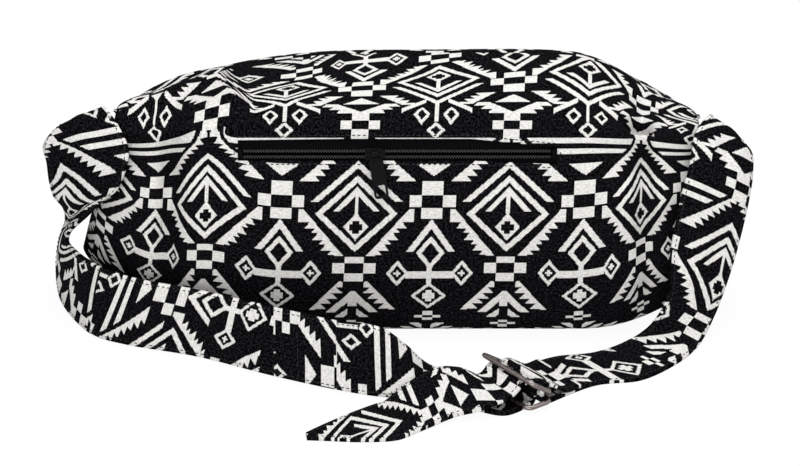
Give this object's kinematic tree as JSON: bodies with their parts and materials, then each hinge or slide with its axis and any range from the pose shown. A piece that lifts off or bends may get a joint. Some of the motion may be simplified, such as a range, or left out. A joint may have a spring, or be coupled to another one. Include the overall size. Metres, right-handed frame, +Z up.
{
  "type": "fanny pack",
  "caption": "Soft cloth waist bag with a zipped front window, wide cloth straps gathered at both ends and a double-ring slip lock that joins them.",
  "frame": {"origin": "middle of the bag's flat base, on the surface it stands on", "axes": "+X along the bag to its right as seen from the front, +Y from front to back, +Z up"},
  "size_m": [0.4462, 0.252, 0.158],
  "materials": {
    "bag_cloth": "black and off-white jacquard weave",
    "strap_cloth": "the same jacquard, sewn double and topstitched",
    "zip_tape": "black woven tape",
    "zip_coil": "black nylon",
    "slider_metal": "black enamel",
    "ring_metal": "polished gunmetal plating"
  },
  "bodies": {
    "bag": {"front_panel": "bag_cloth", "back_panel": "bag_cloth", "left_strap": "strap_cloth", "right_strap": "strap_cloth", "zip_tape_upper": "zip_tape", "zip_tape_lower": "zip_tape", "zip_coil_upper": "zip_coil", "zip_coil_lower": "zip_coil", "zip_stop_left": "zip_coil", "zip_stop_right": "zip_coil", "ring_bottom": "ring_metal"},
    "slider": {"zip_slider": "slider_metal"},
    "pull": {"zip_pull": "slider_metal"},
    "upper_ring": {"ring_top": "ring_metal"}
  },
  "joints": [
    {"name": "zip_slide", "type": "slide", "parent": "bag", "child": "slider", "axis": [1, 0, 0], "range_m": [-0.078, 0.109]},
    {"name": "pull_swing", "type": "hinge", "parent": "slider", "child": "pull", "pos_m": [-0.02, -0.03802, 0.11979], "axis": [-1, 0, 0], "range_deg": [0, 150]},
    {"name": "ring_lift", "type": "hinge", "parent": "bag", "child": "upper_ring", "pos_m": [0.07409, -0.12746, 0.0101], "axis": [-0.6157, 0.788, 0], "range_deg": [0, 50]}
  ]
}
